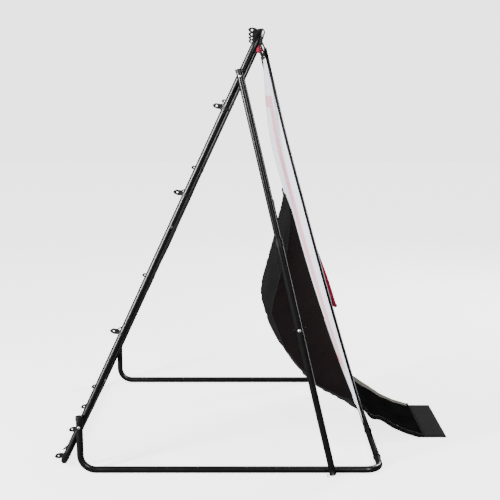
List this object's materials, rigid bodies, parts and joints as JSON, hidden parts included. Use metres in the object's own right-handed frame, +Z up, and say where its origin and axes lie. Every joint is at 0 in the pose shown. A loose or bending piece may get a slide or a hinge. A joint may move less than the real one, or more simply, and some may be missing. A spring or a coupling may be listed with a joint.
{
  "type": "two-sided ball trainer",
  "caption": "Free-standing steel A-frame trainer: rebound net on one side, hanging target sheet with ball bag, strike flap and ball-return chute on the other.",
  "frame": {"origin": "on the floor, at the middle of the tube base", "axes": "+Z up, +X from the rebound side to the target side, +Y to the left seen along +X"},
  "size_m": [1.5758, 1.1864, 1.6461],
  "materials": {
    "black_steel": "gloss powder coat",
    "zinc_plate": "zinc plated",
    "black_plastic": "moulded",
    "black_net": "knotless nylon net",
    "white_sheet": "woven polyester sheet",
    "black_cloth": "coated black polyester",
    "red_cloth": "red woven polyester"
  },
  "bodies": {
    "base": {"base_side_tube_right": "black_steel", "base_side_tube_left": "black_steel", "base_front_tube": "black_steel", "stub_caps": "black_plastic", "pivot_bolts": "zinc_plate", "pivot_washers": "black_plastic", "pivot_nuts": "zinc_plate", "foot_pins": "zinc_plate", "foot_washers": "black_plastic", "foot_pin_clips": "black_steel", "front_hooks": "black_plastic", "ball_chute": "black_cloth", "chute_end_flap": "black_cloth"},
    "rebounder": {"rebounder_lower_tube": "black_steel", "rebounder_upper_tube": "black_steel", "frame_joint_screws": "zinc_plate", "rebound_net": "black_net", "net_hooks": "black_plastic", "leg_top_bolts": "zinc_plate", "leg_top_spacers": "black_plastic", "leg_top_nuts": "zinc_plate", "hanger_hooks": "black_plastic"},
    "target": {"target_sheet": "white_sheet", "ball_bag": "black_cloth"},
    "strike_flap": {"strike_flap": "red_cloth"},
    "leg_upper_right": {"leg_upper_right": "black_steel", "leg_top_cap_right": "black_plastic"},
    "leg_lower_right": {"leg_lower_right": "black_steel", "leg_collar_right": "black_plastic", "leg_foot_plug_right": "black_plastic", "clamp_bolt_right": "zinc_plate"},
    "clamp_knob_right": {"clamp_knob_right": "black_plastic"},
    "leg_upper_left": {"leg_upper_left": "black_steel", "leg_top_cap_left": "black_plastic"},
    "leg_lower_left": {"leg_lower_left": "black_steel", "leg_collar_left": "black_plastic", "leg_foot_plug_left": "black_plastic", "clamp_bolt_left": "zinc_plate"},
    "clamp_knob_left": {"clamp_knob_left": "black_plastic"}
  },
  "joints": [
    {"name": "frame_tilt", "type": "hinge", "parent": "base", "child": "rebounder", "pos_m": [-0.567, 0, 0.182], "axis": [0, 1, 0], "range_deg": [0, 10], "deforming": ["target_sheet"]},
    {"name": "target_lean", "type": "hinge", "parent": "base", "child": "target", "pos_m": [0.567, 0, 0.0127], "axis": [0, 1, 0], "range_deg": [0, 7.5]},
    {"name": "flap_swing", "type": "hinge", "parent": "target", "child": "strike_flap", "pos_m": [0.24092, 0, 1], "axis": [0, 1, 0], "range_deg": [-35, 14]},
    {"name": "leg_swing_right", "type": "hinge", "parent": "rebounder", "child": "leg_upper_right", "pos_m": [0.03706, -0.568, 1.47153], "axis": [0, 1, 0], "range_deg": [-2.4, 0]},
    {"name": "leg_slide_right", "type": "slide", "parent": "leg_upper_right", "child": "leg_lower_right", "axis": [-0.2298, 0, 0.9732], "range_m": [0, 0.158]},
    {"name": "knob_turn_right", "type": "hinge", "parent": "leg_lower_right", "child": "clamp_knob_right", "pos_m": [0.25148, -0.5484, 0.5635], "axis": [0, 1, 0], "continuous": true},
    {"name": "leg_swing_left", "type": "hinge", "parent": "rebounder", "child": "leg_upper_left", "pos_m": [0.03706, 0.568, 1.47153], "axis": [0, 1, 0], "range_deg": [-2.4, 0]},
    {"name": "leg_slide_left", "type": "slide", "parent": "leg_upper_left", "child": "leg_lower_left", "axis": [-0.2298, 0, 0.9732], "range_m": [0, 0.158]},
    {"name": "knob_turn_left", "type": "hinge", "parent": "leg_lower_left", "child": "clamp_knob_left", "pos_m": [0.25148, 0.5484, 0.5635], "axis": [0, 1, 0], "continuous": true}
  ],
  "couplings": [
    {"joint": "target_lean", "follows": "frame_tilt", "ratio": 0.742},
    {"joint": "leg_swing_right", "follows": "frame_tilt", "ratio": -0.23085},
    {"joint": "leg_slide_right", "follows": "frame_tilt", "m_per_rad": 0.90335},
    {"joint": "leg_swing_left", "follows": "frame_tilt", "ratio": -0.23085},
    {"joint": "leg_slide_left", "follows": "frame_tilt", "m_per_rad": 0.90335}
  ]
}
